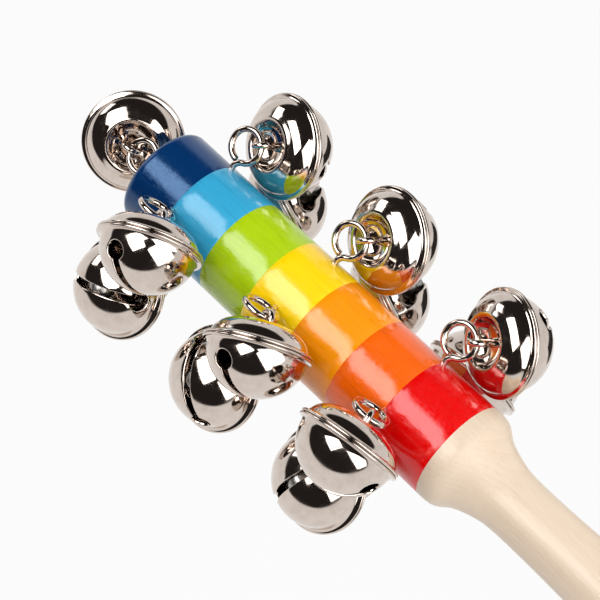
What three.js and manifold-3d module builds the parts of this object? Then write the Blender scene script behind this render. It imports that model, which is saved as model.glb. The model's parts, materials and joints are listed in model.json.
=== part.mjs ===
// Hand-held stick of sleigh bells: a turned wooden stick with seven painted bands and thirteen
// jingle bells, each linked through a small screw eye and free to swing, with a loose pellet inside.
// Millimetres. +X runs along the stick from the butt of the handle to the far end, +Z is up.
// The origin is the centre of the small flat face on the butt.
import * as THREE from 'three';
import { mergeVertices } from 'three/addons/utils/BufferGeometryUtils.js';
import Module from 'manifold-3d';

// Stick
const STICK_RADIUS = 12.0;
const COAT_THICKNESS = 0.28;
const COAT_GAP = 0.06;
const BAND_LENGTH = 13.2;
const RED_BAND_LENGTH = 14.3;
const HANDLE_LENGTH = 72.3;
const END_ROUNDING = 2.0;
const STICK_SEGMENTS = 20;

// Screw eyes
const WIRE_RADIUS = 0.6;
const EYE_RADIUS = 3.85;
const EYE_CENTRE = 18.2;
const EYE_CENTRE_LONG = 20.2;
const EYE_BURIED = 8.0;
const EYE_START = 199;
const EYE_END = 519;
const SHANK_CLEARANCE = 0.12;
const END_EYE_CENTRE = 6.2;

// Bells, measured along their own axis from the point where they hang
const RIM_DROP = 6.5;
const BALL_RADIUS = 10.5;
const BALL_OFFSET = 0.6;
const FLANGE_RADIUS = 11.7;
const FLANGE_THICKNESS = 0.62;
const WALL = 0.55;
const CREST_RADIUS = 6.1;
const CREST_HEIGHT = 4.9;
const DISH_FLOOR = 1.8;
const LOOP_LEG = 1.8;
const LOOP_TOP = 1.25;
const SLIT_WIDTH = 1.8;
const SLIT_HOLE_RADIUS = 2.1;
const SLIT_HALF_ANGLE = 62;
const PELLET_RADIUS = 3.0;
const BELL_SEGMENTS = 10;

const STICK_LENGTH = HANDLE_LENGTH + RED_BAND_LENGTH + 6 * BAND_LENGTH;
const DEG = Math.PI / 180;

// Bands from the far end towards the handle
const BANDS = [
  { name: 'coat_dark_blue', length: BAND_LENGTH, colour: 0x045a96 },
  { name: 'coat_light_blue', length: BAND_LENGTH, colour: 0x3aa5d2 },
  { name: 'coat_lime_green', length: BAND_LENGTH, colour: 0xaacc05 },
  { name: 'coat_yellow', length: BAND_LENGTH, colour: 0xffd600 },
  { name: 'coat_light_orange', length: BAND_LENGTH, colour: 0xf79600 },
  { name: 'coat_dark_orange', length: BAND_LENGTH, colour: 0xee6600 },
  { name: 'coat_red', length: RED_BAND_LENGTH, colour: 0xe4080a },
];

// Three rings of four eyes. Angles are in the plane across the stick, from +Y towards +Z.
const RINGS = [
  { name: 'far', fromEnd: 13.5 },
  { name: 'mid', fromEnd: 46.5 },
  { name: 'near', fromEnd: 79.5 },
];
const COLUMNS = [
  { name: '1', angle: 52, centre: EYE_CENTRE },
  { name: '2', angle: 142, centre: EYE_CENTRE },
  { name: '3', angle: 232, centre: EYE_CENTRE },
  { name: '4', angle: 322, centre: EYE_CENTRE_LONG },
];

// How each bell rests: slide is where its loop sits round the eye, swing is how far it leans over
// sideways from there, and turn is the direction of the slit about the bell's own axis. Degrees.
const REST = {
  end: { slide: -7, swing: 57, turn: 20 },
  far_1: { slide: -50, swing: 52, turn: 68 },
  far_2: { slide: -51, swing: -70, turn: 36 },
  far_3: { slide: -30, swing: 57, turn: 64 },
  far_4: { slide: 38, swing: -86, turn: 148 },
  mid_1: { slide: -58, swing: 55, turn: 76 },
  mid_2: { slide: -50, swing: -71, turn: 132 },
  mid_3: { slide: -37, swing: 56, turn: 64 },
  mid_4: { slide: 52, swing: -81, turn: 88 },
  near_1: { slide: -21, swing: 64, turn: 112 },
  near_2: { slide: -56, swing: -61, turn: 140 },
  near_3: { slide: 8, swing: 64, turn: 30 },
  near_4: { slide: 56, swing: -80, turn: 36 },
};

const wasm = await Module();
wasm.setup();

const woodMaterial = new THREE.MeshStandardMaterial({ color: 0xe4cdb2, roughness: 0.55, metalness: 0 });
const nickelMaterial = () => new THREE.MeshStandardMaterial({ color: 0xcdc3ba, roughness: 0.08, metalness: 1 });
const steelMaterial = () => new THREE.MeshStandardMaterial({ color: 0xb4b1ac, roughness: 0.25, metalness: 1 });
const paintMaterial = (colour) => new THREE.MeshStandardMaterial({ color: colour, roughness: 0.35, metalness: 0 });

function toSolid(geometry) {
  const plain = geometry.index ? geometry.toNonIndexed() : geometry.clone();
  plain.deleteAttribute('normal');
  plain.deleteAttribute('uv');
  const merged = mergeVertices(plain, 1e-4);
  const source = merged.index.array;
  const kept = [];
  for (let i = 0; i < source.length; i += 3) {
    const a = source[i];
    const b = source[i + 1];
    const c = source[i + 2];
    if (a !== b && b !== c && a !== c) kept.push(a, b, c);
  }
  const mesh = new wasm.Mesh({
    numProp: 3,
    vertProperties: new Float32Array(merged.attributes.position.array),
    triVerts: new Uint32Array(kept),
  });
  return new wasm.Manifold(mesh);
}

function toGeometry(solid) {
  const mesh = solid.getMesh();
  const geometry = new THREE.BufferGeometry();
  geometry.setAttribute('position', new THREE.BufferAttribute(new Float32Array(mesh.vertProperties), 3));
  geometry.setIndex(new THREE.BufferAttribute(new Uint32Array(mesh.triVerts), 1));
  geometry.computeVertexNormals();
  return geometry;
}

// Revolve a closed profile of [radius, height] pairs about +Z, faces outward.
function revolve(pairs, segments) {
  const points = pairs.map(([radius, height]) => new THREE.Vector2(radius, height));
  const geometry = new THREE.LatheGeometry(points, segments);
  geometry.rotateX(Math.PI / 2);
  return geometry;
}

// The same about +X, for the stick and its coats.
function revolveAlongStick(pairs) {
  const geometry = revolve(pairs, STICK_SEGMENTS);
  geometry.rotateY(Math.PI / 2);
  geometry.rotateX(52 * DEG + Math.PI / STICK_SEGMENTS);
  return geometry;
}

function wire(points, sides, steps) {
  const section = new THREE.Shape();
  for (let i = 0; i < sides; i += 1) {
    const angle = (i / sides) * 2 * Math.PI;
    const x = WIRE_RADIUS * Math.cos(angle);
    const y = WIRE_RADIUS * Math.sin(angle);
    if (i === 0) section.moveTo(x, y);
    else section.lineTo(x, y);
  }
  section.closePath();
  const path = new THREE.CatmullRomCurve3(points, false, 'catmullrom', 0.5);
  return new THREE.ExtrudeGeometry(section, { steps, extrudePath: path, curveSegments: 1 });
}

function addMesh(parent, name, geometry, material) {
  const mesh = new THREE.Mesh(geometry, material);
  mesh.name = name;
  parent.add(mesh);
  return mesh;
}

// A short closed cylinder along the local +Z of an eye, from z0 to z1.
function shankHole(z0, z1) {
  const radius = (WIRE_RADIUS + SHANK_CLEARANCE) / Math.cos(Math.PI / 8);
  const geometry = new THREE.CylinderGeometry(radius, radius, z1 - z0, 8);
  geometry.rotateX(Math.PI / 2);
  geometry.translate(0, 0, (z0 + z1) / 2);
  return geometry;
}

// Frames of the thirteen eyes: +Z points out of the wood, +X is the eye's other in-plane direction.
function eyeFrames() {
  const frames = [];
  for (const ring of RINGS) {
    for (const column of COLUMNS) {
      const frame = new THREE.Group();
      const angle = column.angle * DEG;
      const out = new THREE.Vector3(0, Math.cos(angle), Math.sin(angle));
      frame.position.set(STICK_LENGTH - ring.fromEnd, 0, 0);
      frame.position.addScaledVector(out, column.centre);
      frame.rotation.x = angle - Math.PI / 2;
      frame.updateMatrix();
      frames.push({ name: `${ring.name}_${column.name}`, frame, surface: column.centre - STICK_RADIUS });
    }
  }
  const end = new THREE.Group();
  const along = new THREE.Vector3(0, Math.cos(142 * DEG), Math.sin(142 * DEG));
  const out = new THREE.Vector3(1, 0, 0);
  const side = new THREE.Vector3().crossVectors(out, along);
  end.quaternion.setFromRotationMatrix(new THREE.Matrix4().makeBasis(along, side, out));
  end.position.set(STICK_LENGTH + END_EYE_CENTRE, 0, 0);
  end.updateMatrix();
  frames.push({ name: 'end', frame: end, surface: END_EYE_CENTRE });
  return frames;
}

const frames = eyeFrames();
const holes = frames.map(({ frame, surface }) => {
  const geometry = shankHole(-surface - EYE_BURIED - 0.4, -surface + 1.2);
  geometry.applyMatrix4(frame.matrix);
  return toSolid(geometry);
});

function drilled(geometry) {
  let solid = toSolid(geometry);
  for (const hole of holes) solid = solid.subtract(hole);
  return toGeometry(solid);
}

function woodenStick() {
  const core = STICK_RADIUS - COAT_THICKNESS - COAT_GAP;
  const start = HANDLE_LENGTH;
  const end = STICK_LENGTH - COAT_THICKNESS - COAT_GAP;
  const handle = [
    [4.0, 0],
    [6.3, 1.1],
    [7.7, 3.6],
    [8.4, 10],
    [7.7, 27],
    [7.05, 44],
    [6.95, 54],
    [7.2, 57.8],
    [8.1, 61.8],
    [9.4, 65.2],
    [11.2, 67.9],
    [12.0, 70.4],
    [12.0, start - COAT_GAP],
  ];
  const rounded = [];
  for (let i = 0; i <= 3; i += 1) {
    const angle = (i / 3) * 90 * DEG;
    const radius = END_ROUNDING - 0.3;
    rounded.push([core - radius + radius * Math.cos(angle), end - radius + radius * Math.sin(angle)]);
  }
  return drilled(revolveAlongStick([[0, 0], ...handle, [core, start - COAT_GAP], ...rounded, [0, end]]));
}

function coat(index) {
  let far = STICK_LENGTH;
  for (let i = 0; i < index; i += 1) far -= BANDS[i].length;
  const near = far - BANDS[index].length;
  const inner = STICK_RADIUS - COAT_THICKNESS;
  if (index > 0) {
    const top = far - COAT_GAP;
    return drilled(revolveAlongStick([
      [inner, near],
      [STICK_RADIUS, near],
      [STICK_RADIUS, top],
      [inner, top],
      [inner, near],
    ]));
  }
  const outside = [];
  const inside = [];
  for (let i = 0; i <= 3; i += 1) {
    const angle = (i / 3) * 90 * DEG;
    const outerRound = END_ROUNDING;
    const innerRound = END_ROUNDING - COAT_THICKNESS;
    outside.push([
      STICK_RADIUS - outerRound + outerRound * Math.cos(angle),
      far - outerRound + outerRound * Math.sin(angle),
    ]);
    inside.push([
      inner - innerRound + innerRound * Math.cos(angle),
      far - COAT_THICKNESS - innerRound + innerRound * Math.sin(angle),
    ]);
  }
  const profile = [[inner, near], [STICK_RADIUS, near], ...outside, [0, far]];
  profile.push([0, far - COAT_THICKNESS], ...inside.reverse(), [inner, near]);
  return drilled(revolveAlongStick(profile));
}

// Open wire eye: a straight shank that bends into nearly a full circle.
function screwEye(surface) {
  const points = [
    new THREE.Vector3(0, 0, -surface - EYE_BURIED),
    new THREE.Vector3(0, 0, -surface - EYE_BURIED * 0.5),
    new THREE.Vector3(0, 0, -surface),
    new THREE.Vector3(0, 0, -5.35),
    new THREE.Vector3(-0.35, 0, -4.55),
  ];
  for (let i = 0; i <= 11; i += 1) {
    const angle = (EYE_START + (EYE_END - EYE_START) * (i / 11)) * DEG;
    points.push(new THREE.Vector3(EYE_RADIUS * Math.sin(angle), 0, EYE_RADIUS * Math.cos(angle)));
  }
  return wire(points, 5, 19);
}

// Bell shapes: +Z points from the hanging point towards the bowl.
function bellCap() {
  const rim = RIM_DROP;
  const up = (height) => rim - height;
  const outer = [
    [FLANGE_RADIUS, up(0.04)],
    [FLANGE_RADIUS, up(FLANGE_THICKNESS)],
    [10.5, up(1.0)],
    [8.9, up(3.7)],
    [CREST_RADIUS, up(CREST_HEIGHT)],
    [4.9, up(4.1)],
    [3.0, up(DISH_FLOOR + 0.2)],
    [0, up(DISH_FLOOR)],
  ];
  const inner = [
    [0, up(DISH_FLOOR - WALL)],
    [3.3, up(DISH_FLOOR + 0.2 - WALL)],
    [5.25, up(3.6)],
    [CREST_RADIUS + 0.05, up(CREST_HEIGHT - WALL)],
    [8.45, up(3.2)],
    [9.95, up(0.04)],
    [FLANGE_RADIUS, up(0.04)],
  ];
  const shell = toSolid(revolve([...outer, ...inner].reverse(), BELL_SEGMENTS));
  const foot = up(DISH_FLOOR) + WALL * 0.6;
  const centre = LOOP_LEG - LOOP_TOP;
  const points = [
    new THREE.Vector3(0, -LOOP_LEG, foot),
    new THREE.Vector3(0, -LOOP_LEG, foot - 1.6),
    new THREE.Vector3(0, -LOOP_LEG, centre + 0.4),
  ];
  for (let i = 0; i <= 6; i += 1) {
    const angle = (i / 6) * Math.PI;
    points.push(new THREE.Vector3(0, -LOOP_LEG * Math.cos(angle), centre - LOOP_LEG * Math.sin(angle)));
  }
  points.push(new THREE.Vector3(0, LOOP_LEG, centre + 0.4));
  points.push(new THREE.Vector3(0, LOOP_LEG, foot - 1.6));
  points.push(new THREE.Vector3(0, LOOP_LEG, foot));
  const loop = toSolid(wire(points, 5, 10));
  return toGeometry(shell.add(loop));
}

function bellBowl() {
  const rim = RIM_DROP + 0.04;
  const ball = RIM_DROP + BALL_OFFSET;
  const inside = BALL_RADIUS - WALL;
  const outer = [];
  const inner = [];
  for (let i = 0; i <= 3; i += 1) {
    const angle = (i / 3) * 84 * DEG;
    outer.push([BALL_RADIUS * Math.sin(angle), ball + BALL_RADIUS * Math.cos(angle)]);
    inner.push([inside * Math.sin(angle), ball + inside * Math.cos(angle)]);
  }
  const profile = [
    ...outer,
    [FLANGE_RADIUS, RIM_DROP + FLANGE_THICKNESS + 0.5],
    [FLANGE_RADIUS, rim],
    [inside, rim],
    ...inner.reverse(),
  ];
  let solid = toSolid(revolve(profile.reverse(), BELL_SEGMENTS));
  const depth = ball + BALL_RADIUS * Math.cos(SLIT_HALF_ANGLE * DEG);
  const reach = BALL_RADIUS * Math.sin(SLIT_HALF_ANGLE * DEG);
  const slot = new THREE.BoxGeometry(SLIT_WIDTH, 2 * reach, 12);
  slot.translate(0, 0, depth + 6);
  solid = solid.subtract(toSolid(slot));
  for (const side of [-1, 1]) {
    const drill = new THREE.CylinderGeometry(SLIT_HOLE_RADIUS, SLIT_HOLE_RADIUS, 6, 8);
    drill.translate(0, BALL_RADIUS, 0);
    drill.rotateX(Math.PI / 2 - side * SLIT_HALF_ANGLE * DEG);
    drill.translate(0, 0, ball);
    solid = solid.subtract(toSolid(drill));
  }
  return toGeometry(solid);
}

function pellet() {
  const geometry = new THREE.SphereGeometry(PELLET_RADIUS, 8, 5);
  const lowest = RIM_DROP + BALL_OFFSET + BALL_RADIUS - WALL - PELLET_RADIUS - 0.25;
  geometry.rotateX(Math.PI / 2);
  geometry.translate(0, 0, lowest);
  return toGeometry(toSolid(geometry));
}

const group = new THREE.Group();
addMesh(group, 'wooden_stick', woodenStick(), woodMaterial);
BANDS.forEach((band, index) => addMesh(group, band.name, coat(index), paintMaterial(band.colour)));

const capGeometry = bellCap();
const bowlGeometry = bellBowl();
const pelletGeometry = pellet();

for (const { name, frame, surface } of frames) {
  const rest = REST[name];
  group.add(frame);
  addMesh(frame, `eye_${name}`, screwEye(surface), nickelMaterial());
  const link = new THREE.Group();
  const slide = rest.slide * DEG;
  link.position.set(EYE_RADIUS * Math.sin(slide), 0, EYE_RADIUS * Math.cos(slide));
  link.rotation.y = slide;
  link.name = `link_${name}`;
  frame.add(link);
  const bell = new THREE.Group();
  bell.rotation.x = -rest.swing * DEG;
  bell.name = `bell_${name}`;
  link.add(bell);
  addMesh(bell, `cap_${name}`, capGeometry, nickelMaterial());
  const bowl = addMesh(bell, `bowl_${name}`, bowlGeometry, nickelMaterial());
  bowl.rotation.z = rest.turn * DEG;
  addMesh(bell, `pellet_${name}`, pelletGeometry, steelMaterial());
}

export default group;
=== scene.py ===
import json
import math

import bmesh
import bpy
from mathutils import Matrix, Vector
from mathutils.geometry import delaunay_2d_cdt


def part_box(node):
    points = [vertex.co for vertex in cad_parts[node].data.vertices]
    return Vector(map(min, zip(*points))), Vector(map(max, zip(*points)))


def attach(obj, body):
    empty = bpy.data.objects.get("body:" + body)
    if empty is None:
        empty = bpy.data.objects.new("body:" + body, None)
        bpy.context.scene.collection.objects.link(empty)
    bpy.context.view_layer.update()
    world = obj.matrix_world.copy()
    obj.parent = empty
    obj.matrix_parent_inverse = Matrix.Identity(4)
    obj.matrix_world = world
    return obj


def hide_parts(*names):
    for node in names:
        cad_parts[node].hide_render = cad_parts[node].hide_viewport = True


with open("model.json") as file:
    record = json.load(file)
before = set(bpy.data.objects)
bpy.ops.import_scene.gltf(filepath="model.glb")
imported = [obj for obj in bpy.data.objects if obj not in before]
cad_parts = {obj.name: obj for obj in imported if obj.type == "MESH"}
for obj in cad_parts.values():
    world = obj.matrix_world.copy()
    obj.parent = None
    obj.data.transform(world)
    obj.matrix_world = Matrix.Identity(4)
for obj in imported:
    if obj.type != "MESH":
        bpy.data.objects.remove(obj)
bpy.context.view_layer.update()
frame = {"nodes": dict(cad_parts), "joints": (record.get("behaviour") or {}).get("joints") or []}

# Sleigh bells: a turned and painted stick with thirteen jingle bells linked to screw eyes.
# Sizes in the dictionaries are millimetres; mm turns them into the scene's metres.
mm = 0.001
joints = {joint["name"]: joint for joint in frame["joints"]}
bellNames = [name[len("swing_"):] for name in joints if name.startswith("swing_")]
scene = bpy.context.scene
print("frame loaded:", len(frame["nodes"]), "nodes,", len(bellNames), "bells")


# Small helpers for node trees and meshes

def addNode(tree, kind, **settings):
    node = tree.nodes.new(kind)
    for key, value in settings.items():
        setattr(node, key, value)
    return node


def put(node, **values):
    for key, value in values.items():
        node.inputs[key.replace("_", " ")].default_value = value
    return node


def mathStep(tree, operation, first, second=None):
    node = addNode(tree, "ShaderNodeMath", operation=operation)
    for slotIndex, value in enumerate((first, second)):
        if value is None:
            continue
        if isinstance(value, (int, float)):
            node.inputs[slotIndex].default_value = value
        else:
            tree.links.new(value, node.inputs[slotIndex])
    return node.outputs[0]


def socketId(tree, name):
    for item in tree.interface.items_tree:
        if item.item_type == "SOCKET" and item.in_out == "INPUT" and item.name == name:
            return item.identifier
    raise KeyError(name)


def newTree(name, inputs):
    tree = bpy.data.node_groups.new(name, "GeometryNodeTree")
    tree.interface.new_socket("Geometry", in_out="INPUT", socket_type="NodeSocketGeometry")
    for label, kind, default in inputs:
        item = tree.interface.new_socket(label, in_out="INPUT", socket_type=kind)
        if default is not None:
            item.default_value = default
    tree.interface.new_socket("Geometry", in_out="OUTPUT", socket_type="NodeSocketGeometry")
    return tree, addNode(tree, "NodeGroupInput"), addNode(tree, "NodeGroupOutput")


def finishTree(tree, groupIn, groupOut, geometry):
    realize = addNode(tree, "GeometryNodeRealizeInstances")
    paint = addNode(tree, "GeometryNodeSetMaterial")
    tree.links.new(geometry, realize.inputs[0])
    tree.links.new(realize.outputs[0], paint.inputs["Geometry"])
    tree.links.new(groupIn.outputs["Material"], paint.inputs["Material"])
    tree.links.new(paint.outputs[0], groupOut.inputs[0])


def runTree(tree, verts, edges, values):
    # Runs the tree on a plain polyline and gives back the finished mesh.
    hostMesh = bpy.data.meshes.new("hostLine")
    hostMesh.from_pydata([tuple(v) for v in verts], edges, [])
    host = bpy.data.objects.new("hostLine", hostMesh)
    scene.collection.objects.link(host)
    modifier = host.modifiers.new("shape", "NODES")
    modifier.node_group = tree
    for label, value in values.items():
        modifier[socketId(tree, label)] = value
    shown = host.evaluated_get(bpy.context.evaluated_depsgraph_get())
    mesh = bpy.data.meshes.new_from_object(shown)
    host.modifiers.remove(modifier)
    bpy.data.objects.remove(host)
    bpy.data.meshes.remove(hostMesh)
    return mesh


def tidyMesh(mesh, merge=2e-7):
    work = bmesh.new()
    work.from_mesh(mesh)
    bmesh.ops.remove_doubles(work, verts=work.verts, dist=merge)
    bmesh.ops.dissolve_degenerate(work, edges=work.edges, dist=merge)
    bmesh.ops.recalc_face_normals(work, faces=work.faces)
    work.to_mesh(mesh)
    work.free()
    return mesh


def addPiece(name, mesh, body, cadNodes, material, creaseAngle=40):
    mesh.name = name
    mesh.materials.clear()
    mesh.materials.append(material)
    for polygon in mesh.polygons:
        polygon.use_smooth = True
        polygon.material_index = 0
    mesh.set_sharp_from_angle(angle=math.radians(creaseAngle))
    piece = bpy.data.objects.new(name, mesh)
    scene.collection.objects.link(piece)
    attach(piece, body)
    if cadNodes:
        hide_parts(*cadNodes)
    return piece


def smoothLine(points, steps=4):
    # Catmull-Rom through the points, so a few control points give a soft profile.
    line = []
    count = len(points)
    for i in range(count - 1):
        p0 = points[max(i - 1, 0)]
        p1, p2 = points[i], points[i + 1]
        p3 = points[min(i + 2, count - 1)]
        for s in range(steps):
            t = s / steps
            line.append(tuple(
                0.5 * (2 * b + (c - a) * t + (2 * a - 5 * b + 4 * c - d) * t * t
                       + (3 * b - a - 3 * c + d) * t ** 3)
                for a, b, c, d in zip(p0, p1, p2, p3)
            ))
    line.append(tuple(points[-1]))
    return line


def arcPoints(centre, radius, fromDegrees, toDegrees, steps):
    points = []
    for i in range(steps + 1):
        angle = math.radians(fromDegrees + (toDegrees - fromDegrees) * i / steps)
        points.append((centre[0] + radius * math.cos(angle), centre[1] + radius * math.sin(angle)))
    return points


# Two node trees make most shapes: a wire along a path, and a profile turned about an axis.

def makeWireTree():
    tree, groupIn, groupOut = newTree("wireAlongPath", [
        ("Wire radius", "NodeSocketFloat", 0.6 * mm),
        ("Sides", "NodeSocketInt", 16),
        ("Steps", "NodeSocketInt", 120),
        ("Material", "NodeSocketMaterial", None),
    ])
    toCurve = addNode(tree, "GeometryNodeMeshToCurve")
    resample = addNode(tree, "GeometryNodeResampleCurve")
    circle = addNode(tree, "GeometryNodeCurvePrimitiveCircle")
    sweep = addNode(tree, "GeometryNodeCurveToMesh")
    sweep.inputs["Fill Caps"].default_value = True
    tree.links.new(groupIn.outputs["Geometry"], toCurve.inputs[0])
    tree.links.new(toCurve.outputs[0], resample.inputs["Curve"])
    tree.links.new(groupIn.outputs["Steps"], resample.inputs["Count"])
    tree.links.new(groupIn.outputs["Wire radius"], circle.inputs["Radius"])
    tree.links.new(groupIn.outputs["Sides"], circle.inputs["Resolution"])
    tree.links.new(resample.outputs[0], sweep.inputs["Curve"])
    tree.links.new(circle.outputs[0], sweep.inputs["Profile Curve"])
    finishTree(tree, groupIn, groupOut, sweep.outputs[0])
    return tree


def makeTurningTree():
    # Reads the profile point by point and turns it about the chosen axis.
    tree, groupIn, groupOut = newTree("turnedProfile", [
        ("Segments", "NodeSocketInt", 96),
        ("Axis", "NodeSocketVector", (1.0, 0.0, 0.0)),
        ("Merge distance", "NodeSocketFloat", 2e-7),
        ("Material", "NodeSocketMaterial", None),
    ])
    size = addNode(tree, "GeometryNodeAttributeDomainSize", component="MESH")
    grid = addNode(tree, "GeometryNodeMeshGrid")
    index = addNode(tree, "GeometryNodeInputIndex")
    position = addNode(tree, "GeometryNodeInputPosition")
    sample = addNode(tree, "GeometryNodeSampleIndex", data_type="FLOAT_VECTOR", domain="POINT")
    turn = addNode(tree, "ShaderNodeVectorRotate", rotation_type="AXIS_ANGLE")
    place = addNode(tree, "GeometryNodeSetPosition")
    merge = addNode(tree, "GeometryNodeMergeByDistance")
    tree.links.new(groupIn.outputs["Geometry"], size.inputs[0])
    pointCount = size.outputs["Point Count"]
    around = mathStep(tree, "ADD", groupIn.outputs["Segments"], 1)
    tree.links.new(around, grid.inputs["Vertices X"])
    tree.links.new(pointCount, grid.inputs["Vertices Y"])
    column = mathStep(tree, "FLOOR", mathStep(tree, "DIVIDE", index.outputs[0], pointCount))
    row = mathStep(tree, "SUBTRACT", index.outputs[0], mathStep(tree, "MULTIPLY", column, pointCount))
    wholeTurns = mathStep(tree, "MULTIPLY", column, 2 * math.pi)
    angle = mathStep(tree, "DIVIDE", wholeTurns, groupIn.outputs["Segments"])
    tree.links.new(groupIn.outputs["Geometry"], sample.inputs["Geometry"])
    tree.links.new(position.outputs[0], sample.inputs["Value"])
    tree.links.new(mathStep(tree, "ROUND", row), sample.inputs["Index"])
    tree.links.new(sample.outputs[0], turn.inputs["Vector"])
    tree.links.new(groupIn.outputs["Axis"], turn.inputs["Axis"])
    tree.links.new(angle, turn.inputs["Angle"])
    tree.links.new(grid.outputs["Mesh"], place.inputs["Geometry"])
    tree.links.new(turn.outputs[0], place.inputs["Position"])
    tree.links.new(place.outputs[0], merge.inputs["Geometry"])
    tree.links.new(groupIn.outputs["Merge distance"], merge.inputs["Distance"])
    finishTree(tree, groupIn, groupOut, merge.outputs[0])
    return tree


wireTree = makeWireTree()
turningTree = makeTurningTree()


def bendWire(path, radius, sides, steps, material):
    verts = [Vector(p) * mm for p in path]
    edges = [(i, i + 1) for i in range(len(verts) - 1)]
    values = {"Wire radius": radius * mm, "Sides": sides, "Steps": steps, "Material": material}
    return tidyMesh(runTree(wireTree, verts, edges, values))


def turnOnLathe(profile, segments, axis, material):
    # profile holds (radius, height) pairs; a pair with no radius closes a pole.
    if axis == "X":
        verts = [Vector((height, radius, 0)) * mm for radius, height in profile]
        direction = (1.0, 0.0, 0.0)
    else:
        verts = [Vector((radius, 0, height)) * mm for radius, height in profile]
        direction = (0.0, 0.0, 1.0)
    edges = [(i, i + 1) for i in range(len(verts) - 1)]
    values = {"Segments": segments, "Axis": direction, "Merge distance": 2e-7, "Material": material}
    return tidyMesh(runTree(turningTree, verts, edges, values))


# Finishes

def startMaterial(name):
    material = bpy.data.materials.new(name)
    material.use_nodes = True
    tree = material.node_tree
    tree.nodes.clear()
    shader = addNode(tree, "ShaderNodeBsdfPrincipled")
    output = addNode(tree, "ShaderNodeOutputMaterial")
    tree.links.new(shader.outputs[0], output.inputs["Surface"])
    return material, tree, shader


def stretchedCoords(tree, scale, location=(0, 0, 0), rotation=(0, 0, 0)):
    coords = addNode(tree, "ShaderNodeTexCoord")
    mapping = addNode(tree, "ShaderNodeMapping")
    mapping.inputs["Location"].default_value = location
    mapping.inputs["Rotation"].default_value = rotation
    mapping.inputs["Scale"].default_value = scale
    tree.links.new(coords.outputs["Object"], mapping.inputs["Vector"])
    return mapping.outputs[0]


def noise(tree, vector, scale, detail=3.0, roughness=0.55):
    node = addNode(tree, "ShaderNodeTexNoise")
    put(node, Scale=scale, Detail=detail, Roughness=roughness)
    tree.links.new(vector, node.inputs["Vector"])
    return node.outputs["Fac"]


def ramp(tree, factor, stops):
    node = addNode(tree, "ShaderNodeValToRGB")
    while len(node.color_ramp.elements) < len(stops):
        node.color_ramp.elements.new(0.5)
    for element, (place, colour) in zip(node.color_ramp.elements, stops):
        element.position = place
        element.color = (*colour, 1) if len(colour) == 3 else colour
    tree.links.new(factor, node.inputs[0])
    return node.outputs[0]


def grey(value):
    return (value, value, value)


def blendColour(tree, mode, factor, first, second):
    node = addNode(tree, "ShaderNodeMix", data_type="RGBA", blend_type=mode)
    for name, value in (("Factor", factor), ("A", first), ("B", second)):
        sockets = [s for s in node.inputs if s.name == name and s.enabled]
        if isinstance(value, (int, float)):
            sockets[0].default_value = value
        elif isinstance(value, tuple):
            sockets[0].default_value = (*value, 1)
        else:
            tree.links.new(value, sockets[0])
    return [s for s in node.outputs if s.enabled][0]


def addBump(tree, shader, height, strength, distance, previous=None):
    node = addNode(tree, "ShaderNodeBump")
    put(node, Strength=strength, Distance=distance)
    tree.links.new(height, node.inputs["Height"])
    if previous is not None:
        tree.links.new(previous.outputs[0], node.inputs["Normal"])
    tree.links.new(node.outputs[0], shader.inputs["Normal"])
    return node


woodLook = {
    "pale": (0.760, 0.625, 0.487),
    "dark": (0.655, 0.515, 0.385),
    "fleck": (0.52, 0.36, 0.23),
    "ringPitch": 1.05,           # mm between growth rings
    "ringContrast": 0.36,
    "ringWaver": 0.0028,         # metres, how far the rings wander
    "pithOffset": (0, 21, -30),  # where the tree's heart lay, mm from the stick's axis
}


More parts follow.
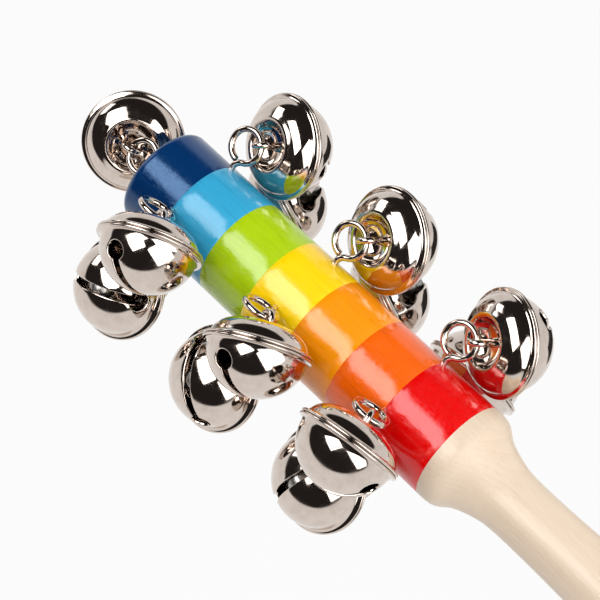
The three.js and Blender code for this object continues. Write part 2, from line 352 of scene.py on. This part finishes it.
def makeWood():
    material, tree, shader = startMaterial("bareWood")
    # Growth rings are cylinders about the tree's heart, so they run straight along the neck and
    # open into arcs where the taper cuts through them.
    offset = woodLook["pithOffset"]
    slow = noise(tree, stretchedCoords(tree, (14, 120, 120)), 1.0, 2.0)
    coords = stretchedCoords(tree, (1, 1, 1), [-value * mm for value in offset], (0, 0.035, -0.03))
    split = addNode(tree, "ShaderNodeSeparateXYZ")
    tree.links.new(coords, split.inputs[0])
    squareY = mathStep(tree, "POWER", split.outputs[1], 2.0)
    square = mathStep(tree, "ADD", squareY, mathStep(tree, "POWER", split.outputs[2], 2.0))
    distance = mathStep(tree, "SQRT", square)
    wavy = mathStep(tree, "ADD", distance, mathStep(tree, "MULTIPLY", slow, woodLook["ringWaver"]))
    phase = mathStep(tree, "FRACT", mathStep(tree, "DIVIDE", wavy, woodLook["ringPitch"] * mm))
    ringStops = ((0.0, 0.12), (0.12, 0.35), (0.62, 0.62), (0.93, 1.0), (1.0, 0.14))
    rings = ramp(tree, phase, [(place, grey(value)) for place, value in ringStops])
    fibres = noise(tree, stretchedCoords(tree, (90, 2600, 2600)), 1.0, 4.0, 0.6)
    broad = noise(tree, stretchedCoords(tree, (9, 160, 160)), 1.0, 2.0)
    flecks = noise(tree, stretchedCoords(tree, (260, 3400, 3400)), 1.0, 1.0)
    fleckMask = ramp(tree, flecks, [(0.0, grey(0.0)), (0.64, grey(0.0)), (0.72, grey(1.0))])
    ringShare = mathStep(tree, "MULTIPLY", rings, woodLook["ringContrast"])
    base = blendColour(tree, "MIX", ringShare, woodLook["pale"], woodLook["dark"])
    fibreTint = ramp(tree, fibres, [(0.25, (0.86, 0.80, 0.74)), (0.75, grey(1.0))])
    base = blendColour(tree, "MULTIPLY", 0.5, base, fibreTint)
    broadTint = ramp(tree, broad, [(0.3, (0.92, 0.90, 0.87)), (0.7, grey(1.0))])
    base = blendColour(tree, "MULTIPLY", 0.6, base, broadTint)
    base = blendColour(tree, "MIX", mathStep(tree, "MULTIPLY", fleckMask, 0.30), base, woodLook["fleck"])
    tree.links.new(base, shader.inputs["Base Color"])
    tree.links.new(ramp(tree, fibres, [(0.3, grey(0.50)), (0.7, grey(0.36))]), shader.inputs["Roughness"])
    put(shader, IOR=1.47)
    shader.inputs["Specular IOR Level"].default_value = 0.5
    shader.inputs["Coat Weight"].default_value = 0.25
    shader.inputs["Coat Roughness"].default_value = 0.28
    grain = addBump(tree, shader, fibres, 0.35, 0.00005)
    addBump(tree, shader, rings, 0.15, 0.00004, grain)
    return material


paintLook = {
    "dark_blue": (0.0005, 0.027, 0.115),
    "light_blue": (0.032, 0.350, 0.590),
    "lime_green": (0.390, 0.580, 0.003),
    "yellow": (1.0, 0.645, 0.0005),
    "light_orange": (0.930, 0.290, 0.0005),
    "dark_orange": (0.860, 0.120, 0.0005),
    "red": (0.740, 0.0005, 0.0005),
    "glossTint": {"dark_blue": (0.35, 0.62, 1.0), "light_blue": (0.85, 0.95, 1.0)},
    "grainDepth": 0.00006,   # metres, wood grain that shows through the lacquer
}


def makePaint(name, colour):
    material, tree, shader = startMaterial("lacquer_" + name)
    # Thin satin lacquer: the wood's fibres still show as fine ridges, its pores as a speckled shine.
    fibres = noise(tree, stretchedCoords(tree, (110, 1500, 1500)), 1.0, 4.0, 0.62)
    fineFibres = noise(tree, stretchedCoords(tree, (320, 4200, 4200)), 1.0, 2.0, 0.6)
    cloud = noise(tree, stretchedCoords(tree, (60, 130, 130)), 1.0, 3.0)
    deep = tuple(channel * 0.87 for channel in colour)
    light = tuple(min(1.0, channel * 1.05) for channel in colour)
    base = ramp(tree, fibres, [(0.28, deep), (0.48, colour), (0.74, light)])
    cloudTint = ramp(tree, cloud, [(0.3, grey(0.88)), (0.7, grey(1.0))])
    base = blendColour(tree, "MULTIPLY", 0.5, base, cloudTint)
    tree.links.new(base, shader.inputs["Base Color"])
    pores = noise(tree, stretchedCoords(tree, (1300, 2100, 2100)), 1.0, 2.0, 0.6)
    shine = ramp(tree, pores, [(0.42, grey(0.10)), (0.58, grey(0.25))])
    tree.links.new(shine, shader.inputs["Roughness"])
    put(shader, IOR=1.5)
    glossTint = paintLook["glossTint"].get(name, (1.0, 1.0, 1.0))
    shader.inputs["Specular IOR Level"].default_value = 0.75 if name == "dark_blue" else 0.55
    shader.inputs["Specular Tint"].default_value = (*glossTint, 1)
    shader.inputs["Coat Weight"].default_value = 0.05
    shader.inputs["Coat Roughness"].default_value = 0.14
    ridges = addBump(tree, shader, fibres, 0.16, paintLook["grainDepth"])
    fine = addBump(tree, shader, fineFibres, 0.25, 0.00003, ridges)
    addBump(tree, shader, pores, 0.40, 0.00003, fine)
    return material


nickelLook = {
    "clean": (0.66, 0.575, 0.515),
    "hazed": (0.60, 0.515, 0.455),
    "pitted": (0.22, 0.17, 0.14),
    "dentDepth": 0.00022,  # metres, slow waves left by pressing the sheet
}


def makeNickel(name, dents, roughLow, roughHigh):
    material, tree, shader = startMaterial(name)
    coords = stretchedCoords(tree, (1, 1, 1))
    waves = noise(tree, coords, 190.0, 1.5, 0.4)
    haze = noise(tree, coords, 420.0, 3.0, 0.6)
    specks = noise(tree, coords, 5200.0, 2.0, 0.5)
    pits = ramp(tree, specks, [(0.0, grey(1.0)), (0.27, grey(1.0)), (0.31, grey(0.0))])
    base = ramp(tree, haze, [(0.35, nickelLook["hazed"]), (0.6, nickelLook["clean"])])
    base = blendColour(tree, "MIX", mathStep(tree, "MULTIPLY", pits, 0.55), base, nickelLook["pitted"])
    shader.inputs["Metallic"].default_value = 1.0
    tree.links.new(base, shader.inputs["Base Color"])
    shine = ramp(tree, haze, [(0.35, grey(roughHigh)), (0.62, grey(roughLow))])
    tree.links.new(shine, shader.inputs["Roughness"])
    slow = addBump(tree, shader, waves, dents, nickelLook["dentDepth"])
    addBump(tree, shader, specks, 0.12, 0.000004, slow)
    return material


def makePelletSteel():
    material, tree, shader = startMaterial("pelletSteel")
    coords = stretchedCoords(tree, (1, 1, 1))
    mottled = noise(tree, coords, 900.0, 4.0, 0.65)
    shader.inputs["Metallic"].default_value = 1.0
    base = ramp(tree, mottled, [(0.35, (0.30, 0.28, 0.26)), (0.7, (0.52, 0.50, 0.47))])
    tree.links.new(base, shader.inputs["Base Color"])
    shine = ramp(tree, mottled, [(0.3, grey(0.42)), (0.7, grey(0.22))])
    tree.links.new(shine, shader.inputs["Roughness"])
    addBump(tree, shader, mottled, 0.5, 0.00004)
    return material


bareWood = makeWood()
bellNickel = makeNickel("bellNickel", 0.30, 0.045, 0.125)
wireNickel = makeNickel("wireNickel", 0.10, 0.05, 0.13)
pelletSteel = makePelletSteel()
print("finishes made")


# The stick: turned wood and seven lacquered bands

stick = {
    "radius": 12.0,
    "coatThickness": 0.28,
    "coatGap": 0.06,     # between the wood and the coats
    "bandReach": 0.055,  # how far a band runs on towards the next one
    "endRounding": 2.0,
    "segments": 128,
    "handleLength": 72.3,
}
# Turned handle, (radius, distance from the butt); the neck opens in a soft cove to the shoulder.
handleProfile = [
    (0, 0), (2.6, 0.0), (4.0, 0.05), (5.3, 0.45), (6.35, 1.15), (7.2, 2.3), (7.8, 3.9), (8.2, 6.3),
    (8.38, 10), (8.2, 16), (7.75, 26), (7.3, 36), (7.05, 44), (6.97, 50), (6.98, 54), (7.15, 57.5),
    (7.45, 59.3), (7.95, 61.3), (8.6, 63.3), (9.4, 65.2), (10.2, 66.4), (10.9, 67.3), (11.5, 68.3),
    (11.85, 69.4), (11.98, 70.8), (12.0, 72.0),
]


def makeStick():
    radius = stick["radius"]
    core = radius - stick["coatThickness"] - stick["coatGap"]
    start = stick["handleLength"]
    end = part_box("wooden_stick")[1].x / mm
    rounding = stick["endRounding"] - 0.3
    profile = smoothLine(handleProfile[1:], 4)
    shoulder = start - stick["coatGap"] / 2
    profile = [(0, 0)] + profile + [(radius, shoulder), (core, shoulder)]
    for i in range(1, 24):
        profile.append((core, start + (end - rounding - start) * i / 24))
    profile += arcPoints((core - rounding, end - rounding), rounding, 0, 90, 8)
    profile.append((0, end))
    mesh = turnOnLathe(profile, stick["segments"], "X", bareWood)
    return addPiece("turnedStick", mesh, "stick", ["wooden_stick"], bareWood)


def makeBand(name):
    low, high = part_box("coat_" + name)
    near, far = low.x / mm, high.x / mm
    radius = stick["radius"]
    thickness = stick["coatThickness"]
    inner = radius - thickness
    edge = 0.05  # the slight rounding of the paint's edge
    colour = makePaint(name, paintLook[name])
    if name == "dark_blue":
        rounding = stick["endRounding"]
        profile = [(inner, near), (radius - edge, near), (radius, near + edge)]
        profile += arcPoints((radius - rounding, far - rounding), rounding, 0, 90, 12)
        profile += [(radius - rounding - 3, far), (0, far), (0, far - thickness)]
        profile += arcPoints((radius - rounding, far - rounding), rounding - thickness, 90, 0, 8)
        profile.append((inner, near))
    else:
        far += stick["bandReach"]
        profile = [(inner, near), (radius - edge * 0.4, near), (radius, near + edge)]
        profile += [(radius, near + (far - near) * i / 6) for i in range(1, 6)]
        profile += [(radius, far - edge), (radius - edge * 0.4, far), (inner, far), (inner, near)]
    mesh = turnOnLathe(profile, stick["segments"], "X", colour)
    pieceName = "band" + "".join(word.capitalize() for word in name.split("_"))
    return addPiece(pieceName, mesh, "stick", ["coat_" + name], colour)


makeStick()
for bandName in ("dark_blue", "light_blue", "lime_green", "yellow", "light_orange", "dark_orange", "red"):
    makeBand(bandName)
print("stick and bands made")


# Screw eyes
eye = {
    "wireRadius": 0.74,
    "hangRadius": 3.85,      # where the bell's hinge lies
    "ringRadius": 3.80,
    "buried": 8.0,
    "fromDegrees": 199,      # where the ring leaves the shank, measured from the outward direction
    "toDegrees": 534,        # its open end, almost back at the shank
    "neck": 5.6,             # mm below the ring's centre, where the shank starts to bend
    "ringSteps": 44,
    "sides": 18,
    "steps": 150,
}


# The end bell's eye is screwed in turned this far about the stick.
endTurn = math.radians(142)


def bellFrames(name):
    # Where an eye and its bell sit, from the hinge the bell swings on and the way its pellet slides.
    hang = Vector(joints["swing_" + name]["pos_m"])
    hinge = Vector(joints["swing_" + name]["axis"]).normalized()
    drop = -Vector(joints["rattle_" + name]["axis"]).normalized()
    if name == "end":
        outward = Vector((1, 0, 0))
        along = Vector((0, math.cos(endTurn), math.sin(endTurn)))
    else:
        outward = Vector((0, hang.y, hang.z)).normalized()
        along = Vector((1, 0, 0))
    if hinge.dot(along) < 0:
        hinge = -hinge
    shift = hinge.dot(along) * outward - hinge.dot(outward) * along
    centre = hang - shift.normalized() * eye["hangRadius"] * mm
    side = outward.cross(along)
    eyeFrame = Matrix((along, side, outward)).transposed().to_4x4()
    eyeFrame.translation = centre
    drop = (drop - hinge * drop.dot(hinge)).normalized()
    bellFrame = Matrix((hinge, drop.cross(hinge), drop)).transposed().to_4x4()
    bellFrame.translation = hang
    if name == "end":
        depth = centre.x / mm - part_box("coat_dark_blue")[1].x / mm
    else:
        depth = math.hypot(centre.y, centre.z) / mm - stick["radius"]
    return eyeFrame, bellFrame, depth


def makeEye(name, eyeFrame, depth):
    ring = eye["ringRadius"]
    neck = eye["neck"]
    path = [(0, 0, -depth - eye["buried"]), (0, 0, -depth - eye["buried"] / 2), (0, 0, -depth)]
    path += [(0, 0, -neck), (-0.12, 0, 0.65 - neck), (-0.5, 0, 1.35 - neck)]
    count = eye["ringSteps"]
    for i in range(count + 1):
        angle = math.radians(eye["fromDegrees"] + (eye["toDegrees"] - eye["fromDegrees"]) * i / count)
        path.append((ring * math.sin(angle), 0, ring * math.cos(angle)))
    mesh = bendWire(smoothLine(path, 4), eye["wireRadius"], eye["sides"], eye["steps"], wireNickel)
    mesh.transform(eyeFrame)
    tidyMesh(mesh)
    return addPiece("screwEye_" + name, mesh, "stick", ["eye_" + name], wireNickel)


# Bells
bell = {
    "rim": 6.5,           # seam, along the bell's axis from the point it hangs on
    "flangeRadius": 11.82,
    "lipRadius": 0.34,
    "ballRadius": 10.62,
    "ballOffset": 0.6,
    "bowlDepth": 0.93,    # the bowl is a little flatter than a true half ball
    "wall": 0.5,
    "dishFloor": 1.8,     # bottom of the cap's dish, over the seam
    "seamGap": 0.03,      # from the seam's middle to the cap and to the bowl
    "slitWidth": 1.8,
    "holeRadius": 2.3,
    "slitHalfAngle": 62,
    "edgeRadius": 0.24,
    "segments": 112,
    "loopLeg": 1.8,
    "loopTop": 1.57,
    "loopWire": 0.74,
    "pelletRadius": 2.9,
    "pelletRest": 13.45,  # its centre, resting in the bottom of the bowl
}
# Direction of each bell's slit about its own axis, degrees
slitTurn = {
    "end": 20, "far_1": 68, "far_2": 36, "far_3": 64, "far_4": 148,
    "mid_1": 76, "mid_2": 132, "mid_3": 64, "mid_4": 88,
    "near_1": 112, "near_2": 140, "near_3": 30, "near_4": 36,
}
# Cap, (radius, height over the seam): shoulder, rounded crest, then the dish the loop stands in
capProfile = [
    (10.98, 0.80), (10.72, 1.02), (10.52, 1.45), (10.22, 2.10), (9.72, 2.85), (9.02, 3.58),
    (8.16, 4.18), (7.35, 4.56), (6.86, 4.80), (6.42, 5.00), (5.98, 5.04), (5.56, 4.90), (5.24, 4.56),
    (4.98, 4.10), (4.55, 3.50), (3.90, 2.88), (3.05, 2.36), (2.00, 2.00), (1.0, 1.84),
    (0.0, bell["dishFloor"]),
]


def makeCapMesh():
    rim = bell["rim"] - bell["seamGap"]
    lip = bell["lipRadius"]
    lipCentre = (bell["flangeRadius"] - lip, rim - lip)
    wall = bell["wall"]
    outer = [(radius, rim - height) for radius, height in smoothLine(capProfile, 3)]
    profile = arcPoints(lipCentre, lip, 90, -80, 9) + [(11.22, rim - 0.70)] + outer
    inner = [(0, bell["dishFloor"] - wall), (3.1, 2.4 - wall), (4.9, 3.5), (5.75, 4.45), (6.3, 4.5)]
    inner += [(8.0, 3.75), (9.4, 2.6), (9.95, 1.4), (10.05, 0.0)]
    profile += [(radius, rim - height) for radius, height in smoothLine(inner, 3)]
    profile.append(profile[0])
    return turnOnLathe(profile, bell["segments"], "Z", bellNickel)


def slitOutline(grow):
    # Slit with a round hole at each end, laid on the ball; grow widens it evenly.
    ball = bell["ballRadius"]
    half = bell["slitWidth"] / 2 + grow
    spread = (bell["holeRadius"] + grow) / ball
    tilt = math.radians(bell["slitHalfAngle"])
    flat = math.sqrt(ball * ball - half * half)
    reach = tilt - math.acos(min(1, ball * math.cos(spread) / flat))
    opening = math.pi - math.asin(half / (ball * math.sin(spread)))
    points = []
    for side in (1, -1):
        centre = Vector((0, side * math.sin(tilt), math.cos(tilt)))
        across = Vector((side, 0, 0))
        away = Vector((0, side * math.cos(tilt), -math.sin(tilt)))
        for i in range(1, 26):
            beta = -reach + 2 * reach * i / 26
            spot = Vector((side * half, side * flat * math.sin(beta), flat * math.cos(beta)))
            points.append(spot.normalized())
        for i in range(31):
            gamma = opening - 2 * opening * i / 30
            outwards = math.sin(gamma) * across + math.cos(gamma) * away
            points.append((math.cos(spread) * centre + math.sin(spread) * outwards).normalized())
    return points


def makeBowlMesh():
    ball, wall = bell["ballRadius"], bell["wall"]
    centreZ = bell["rim"] + bell["ballOffset"]
    segments = bell["segments"]
    limit = math.radians(84)
    rounding = bell["edgeRadius"]
    outline = slitOutline(rounding)

    def flatten(direction):
        theta = math.acos(max(-1, min(1, direction.z)))
        psi = math.atan2(direction.y, direction.x)
        return Vector((theta * math.cos(psi), theta * math.sin(psi)))

    def lift(flat):
        theta = flat.length
        if theta < 1e-9:
            return Vector((0, 0, 1))
        out = math.sin(theta) / theta
        return Vector((out * flat.x, out * flat.y, math.cos(theta)))

    rimAngles = [2 * math.pi * i / segments for i in range(segments)]
    rimFlat = [Vector((limit * math.cos(psi), limit * math.sin(psi))) for psi in rimAngles]
    slitFlat = [flatten(direction) for direction in outline]
    guard = 0.42 / ball  # no spare points this close to the slit, as an angle on the ball
    holeTilt = math.radians(bell["slitHalfAngle"])
    holeSpread = (bell["holeRadius"] + rounding) / ball + guard
    slitReach = bell["slitWidth"] / 2 + rounding + guard * ball
    inside = []
    ringCount = 26
    for ring in range(1, ringCount):
        theta = limit * ring / ringCount
        around = max(8, round(segments * math.sin(theta) / math.sin(limit)))
        for i in range(around):
            psi = 2 * math.pi * (i + 0.5 * (ring % 2)) / around
            spot = Vector((theta * math.cos(psi), theta * math.sin(psi)))
            direction = lift(spot)
            hole = Vector((0, math.copysign(math.sin(holeTilt), direction.y), math.cos(holeTilt)))
            nearHole = direction.angle(hole) < holeSpread
            nearSlit = abs(direction.x) * ball < slitReach and theta < holeTilt + 0.02
            if not nearHole and not nearSlit:
                inside.append(spot)
    rimCount, slitCount = len(rimFlat), len(slitFlat)
    points = rimFlat + slitFlat + inside
    edges = [(i, (i + 1) % rimCount) for i in range(rimCount)]
    edges += [(rimCount + i, rimCount + (i + 1) % slitCount) for i in range(slitCount)]
    flatVerts, _, flatFaces, origins, _, _ = delaunay_2d_cdt(points, edges, [], 0, 1e-9)
    finalOf = {}
    for index, sources in enumerate(origins):
        for source in sources:
            finalOf[source] = index

    # Faces whose middle lies in the slit are dropped.
    def insideOutline(spot):
        crossings = False
        for i in range(slitCount):
            a, b = slitFlat[i], slitFlat[(i + 1) % slitCount]
            if (a.y > spot.y) == (b.y > spot.y):
                continue
            if spot.x < (b.x - a.x) * (spot.y - a.y) / (b.y - a.y) + a.x:
                crossings = not crossings
        return crossings

    work = bmesh.new()
    outerVerts, innerVerts = [], []
    slitIndex = {finalOf[rimCount + i]: i for i in range(slitCount)}
    bareOutline = slitOutline(0.0)
    depthScale = bell["bowlDepth"]

    def onBall(direction, radius):
        height = direction.z * (depthScale if direction.z > 0 else 1)
        return Vector((direction.x * radius, direction.y * radius, centreZ + height * radius)) * mm

    for index, flat in enumerate(flatVerts):
        direction = lift(flat)
        outerVerts.append(work.verts.new(onBall(direction, ball)))
        innerDirection = bareOutline[slitIndex[index]] if index in slitIndex else direction
        innerVerts.append(work.verts.new(onBall(innerDirection, ball - wall)))
    for face in flatFaces:
        middle = sum((flatVerts[i] for i in face), Vector((0, 0))) / len(face)
        if insideOutline(middle):
            continue
        work.faces.new([outerVerts[i] for i in face])
        work.faces.new([innerVerts[i] for i in reversed(face)])

    # Rounded edge of the slit, from the outer skin down to the inner one
    previous = [outerVerts[finalOf[rimCount + i]] for i in range(slitCount)]
    for step in (1, 2, 3):
        angle = math.radians(30 * step)
        directions = slitOutline(rounding * (1 - math.sin(angle)))
        depth = rounding * (1 - math.cos(angle))
        current = [work.verts.new(onBall(direction, ball - depth)) for direction in directions]
        for i in range(slitCount):
            j = (i + 1) % slitCount
            work.faces.new([previous[i], previous[j], current[j], current[i]])
        previous = current
    last = [innerVerts[finalOf[rimCount + i]] for i in range(slitCount)]
    for i in range(slitCount):
        j = (i + 1) % slitCount
        work.faces.new([previous[i], previous[j], last[j], last[i]])

    # Fillet and rolled lip at the seam
    rim = bell["rim"] + bell["seamGap"]
    lip = bell["lipRadius"]
    lipCentre = (bell["flangeRadius"] - lip, rim + lip)
    edgeProfile = [(10.66, 7.92), (10.74, 7.66), (10.88, 7.44), (11.10, 7.29), (11.30, 7.24)]
    edgeProfile += arcPoints(lipCentre, lip, 80, -90, 9) + [(10.4, rim), (10.1, rim), (10.1, rim + 0.6)]
    previous = [outerVerts[finalOf[i]] for i in range(rimCount)]
    for radius, height in edgeProfile:
        current = []
        for i in range(rimCount):
            psi = 2 * math.pi * i / segments
            spot = Vector((radius * math.cos(psi), radius * math.sin(psi), height))
            current.append(work.verts.new(spot * mm))
        for i in range(rimCount):
            j = (i + 1) % rimCount
            work.faces.new([previous[i], previous[j], current[j], current[i]])
        previous = current
    last = [innerVerts[finalOf[i]] for i in range(rimCount)]
    for i in range(rimCount):
        j = (i + 1) % rimCount
        work.faces.new([previous[i], previous[j], last[j], last[i]])
    loose = [vert for vert in work.verts if not vert.link_faces]
    bmesh.ops.delete(work, geom=loose, context="VERTS")
    bmesh.ops.recalc_face_normals(work, faces=work.faces)
    mesh = bpy.data.meshes.new("bowlShape")
    work.to_mesh(mesh)
    work.free()
    return mesh


def makeLoopMesh():
    leg, top = bell["loopLeg"], bell["loopTop"]
    foot = bell["rim"] - bell["dishFloor"] + 0.3  # the legs end inside the cap's wall
    middle = leg - top
    path = [(0, -leg, foot), (0, -leg, foot - 1.2), (0, -leg, foot - 2.4), (0, -leg, middle + 0.5)]
    for i in range(25):
        angle = math.pi * i / 24
        path.append((0, -leg * math.cos(angle), middle - leg * math.sin(angle)))
    path += [(0, leg, middle + 0.5), (0, leg, foot - 2.4), (0, leg, foot - 1.2), (0, leg, foot)]
    return bendWire(smoothLine(path, 3), bell["loopWire"], 16, 70, wireNickel)


# Tumbled shot: shallow flats, facing these ways, where pellets were sheared and knocked together
pelletFlats = [(0.3, 0.8, 0.5), (-0.7, 0.2, 0.6), (0.5, -0.6, 0.6), (-0.2, -0.5, -0.8), (0.8, 0.1, -0.5)]
flatReach = 0.93  # how far out the flats lie, as a share of the radius


def makePelletMesh():
    work = bmesh.new()
    bmesh.ops.create_icosphere(work, subdivisions=4, radius=bell["pelletRadius"] * mm)
    lowest = bell["pelletRest"]
    for vert in work.verts:
        n = vert.co.normalized()
        shrink = 1.0
        for axis in pelletFlats:
            reach = n.dot(Vector(axis).normalized())
            if reach > flatReach:
                shrink = min(shrink, flatReach / reach)
        vert.co = n * bell["pelletRadius"] * mm * shrink + Vector((0, 0, lowest * mm))
    mesh = bpy.data.meshes.new("pelletShape")
    work.to_mesh(mesh)
    work.free()
    return mesh


capShape = makeCapMesh()
bowlShape = makeBowlMesh()
loopShape = makeLoopMesh()
pelletShape = makePelletMesh()
print("bell shapes made: cap", len(capShape.polygons), "bowl", len(bowlShape.polygons))

for name in bellNames:
    eyeFrame, bellFrame, depth = bellFrames(name)
    makeEye(name, eyeFrame, depth)
    turned = bellFrame @ Matrix.Rotation(math.radians(slitTurn[name]), 4, "Z")
    for pieceName, shape, place, body, slotName, cadNode, material in (
        ("bellCap_", capShape, bellFrame, "bell_", "nickel_bell", "cap_", bellNickel),
        ("bellLoop_", loopShape, bellFrame, "bell_", "nickel_bell", "cap_", wireNickel),
        ("bellBowl_", bowlShape, turned, "bell_", "nickel_bell", "bowl_", bellNickel),
        ("jinglePellet_", pelletShape, bellFrame, "pellet_", "pellet_steel", "pellet_", pelletSteel),
    ):
        mesh = shape.copy()
        mesh.transform(place)
        addPiece(pieceName + name, mesh, body + name, [cadNode + name], material)
for shape in (capShape, bowlShape, loopShape, pelletShape):
    bpy.data.meshes.remove(shape)
print("eyes and bells placed")


# The studio: pale floor, two soft boxes above, a strip behind, a dark room over pale walls
studio = {
    "target": (0.12, 0, 0),  # where the soft boxes and the card point
    "floorHeight": -0.25,
    "floorNear": (-2.2, -0.75),
    "floorFar": (1.2, 2.4),
    "floorGlow": 0.93,
    "cardDirection": (-0.314, -0.778, -0.545),
    "cardDistance": 0.32,
    "cardSize": (0.20, 0.13),  # a dark card, seen only in reflections
    "room": (0.022, 0.019, 0.018),
    "walls": (0.90, 0.90, 0.90),    # pale lower walls that the metal mirrors
    "wallTilt": (0.0, 0.19, 0.98),  # leans their upper edge
    "wallEdge": (0.09, 0.17),
    "backdrop": (0.95, 0.95, 0.95),
}
# Each light's direction from the target, metres to it, width, height and strength. The hot centre
# is the brighter middle of the left soft box, for shine only; the fill is never mirrored.
softBoxes = {
    "softBoxLeft": ((0.2548, 0.3987, 0.8811), 0.644, 0.66, 0.40, 3.0),
    "hotCentre": ((0.2548, 0.3987, 0.8811), 0.63, 0.64, 0.34, 3.0),
    "softBoxRight": ((-0.798, 0.067, 0.597), 0.62, 0.54, 0.60, 3.0),
    "stripBehind": ((0.94, 0.05, 0.34), 0.75, 0.30, 0.20, 3.0),
    "fill": ((-0.10, -0.62, 0.78), 0.9, 1.1, 1.1, 1.45),
}
cameraLook = {
    "place": (-0.0482, 0.1332, 0.4101),
    "right": (-0.6796, -0.7324, -0.0414),
    "up": (0.6362, -0.6165, 0.4637),
    "back": (-0.3652, 0.2888, 0.8850),
    "fieldOfView": 15.887,
}


def makeFloor():
    nearX, nearY = studio["floorNear"]
    farX, farY = studio["floorFar"]
    height = studio["floorHeight"]
    mesh = bpy.data.meshes.new("paleFloor")
    corners = [(nearX, nearY), (farX, nearY), (farX, farY), (nearX, farY)]
    mesh.from_pydata([(x, y, height) for x, y in corners], [], [(0, 1, 2, 3)])
    floor = bpy.data.objects.new("paleFloor", mesh)
    scene.collection.objects.link(floor)
    material, tree, shader = startMaterial("paleFloor")
    put(shader, Roughness=0.8)
    shader.inputs["Base Color"].default_value = (0.04, 0.04, 0.04, 1)
    shader.inputs["Specular IOR Level"].default_value = 0.0
    shader.inputs["Emission Color"].default_value = (1.0, 1.0, 1.0, 1)
    shader.inputs["Emission Strength"].default_value = studio["floorGlow"]
    mesh.materials.append(material)


def makeWorld():
    world = bpy.data.worlds.new("studio")
    scene.world = world
    world.use_nodes = True
    tree = world.node_tree
    tree.nodes.clear()
    output = addNode(tree, "ShaderNodeOutputWorld")
    pale = addNode(tree, "ShaderNodeBackground")
    dark = addNode(tree, "ShaderNodeBackground")
    pale.inputs["Color"].default_value = (*studio["backdrop"], 1)
    dark.inputs["Color"].default_value = (*studio["room"], 1)
    walls = addNode(tree, "ShaderNodeBackground")
    walls.inputs["Color"].default_value = (*studio["walls"], 1)
    # The room: pale walls up to a slanted edge, dark above it.
    direction = addNode(tree, "ShaderNodeTexCoord")
    lean = addNode(tree, "ShaderNodeVectorMath", operation="DOT_PRODUCT")
    lean.inputs[1].default_value = studio["wallTilt"]
    tree.links.new(direction.outputs["Generated"], lean.inputs[0])
    edge = addNode(tree, "ShaderNodeMapRange")
    edge.inputs["From Min"].default_value, edge.inputs["From Max"].default_value = studio["wallEdge"]
    tree.links.new(lean.outputs["Value"], edge.inputs["Value"])
    room = addNode(tree, "ShaderNodeMixShader")
    tree.links.new(edge.outputs["Result"], room.inputs[0])
    tree.links.new(walls.outputs[0], room.inputs[1])
    tree.links.new(dark.outputs[0], room.inputs[2])
    rays = addNode(tree, "ShaderNodeLightPath")
    mix = addNode(tree, "ShaderNodeMixShader")
    tree.links.new(rays.outputs["Is Camera Ray"], mix.inputs[0])
    tree.links.new(room.outputs[0], mix.inputs[1])
    tree.links.new(pale.outputs[0], mix.inputs[2])
    tree.links.new(mix.outputs[0], output.inputs[0])


def facing(direction, distance, normal):
    # A place at some distance from the middle of the bells, turned so that its Z lies along normal.
    turn = normal.to_track_quat("Z", "Y").to_matrix().to_4x4()
    return Matrix.Translation(Vector(studio["target"]) + direction * distance) @ turn


def makeDarkCard():
    # A black card low on the far side, seen only in reflections
    direction = Vector(studio["cardDirection"]).normalized()
    width, height = studio["cardSize"]
    mesh = bpy.data.meshes.new("darkCard")
    corners = [(-width, -height), (width, -height), (width, height), (-width, height)]
    mesh.from_pydata([(x / 2, y / 2, 0) for x, y in corners], [], [(0, 1, 2, 3)])
    mesh.transform(facing(direction, studio["cardDistance"], -direction))
    card = bpy.data.objects.new("darkCard", mesh)
    scene.collection.objects.link(card)
    material, tree, shader = startMaterial("darkCard")
    shader.inputs["Base Color"].default_value = (0.012, 0.011, 0.010, 1)
    put(shader, Roughness=0.9)
    mesh.materials.append(material)
    card.visible_camera = card.visible_diffuse = card.visible_shadow = False


def makeSoftBox(name, direction, distance, width, height, strength):
    direction = Vector(direction).normalized()
    light = bpy.data.lights.new(name, "AREA")
    light.shape = "RECTANGLE"
    light.size, light.size_y = width, height
    light.energy = strength * math.pi * width * height
    box = bpy.data.objects.new(name, light)
    scene.collection.objects.link(box)
    box.matrix_world = facing(direction, distance, direction)
    box.visible_camera = False
    return box


def makeCamera():
    right, up, back = (Vector(cameraLook[key]).normalized() for key in ("right", "up", "back"))
    turn = Matrix((right, up, back)).transposed().to_4x4()
    turn.translation = Vector(cameraLook["place"])
    data = bpy.data.cameras.new("camera")
    data.sensor_width = data.sensor_height = 36
    data.angle = math.radians(cameraLook["fieldOfView"])
    camera = bpy.data.objects.new("camera", data)
    scene.collection.objects.link(camera)
    camera.matrix_world = turn
    scene.camera = camera


makeFloor()
makeDarkCard()
makeWorld()
makeCamera()
lights = {name: makeSoftBox(name, *values) for name, values in softBoxes.items()}
lights["hotCentre"].visible_diffuse = False
lights["fill"].visible_glossy = False
scene.view_settings.view_transform = "Standard"
print("studio set")
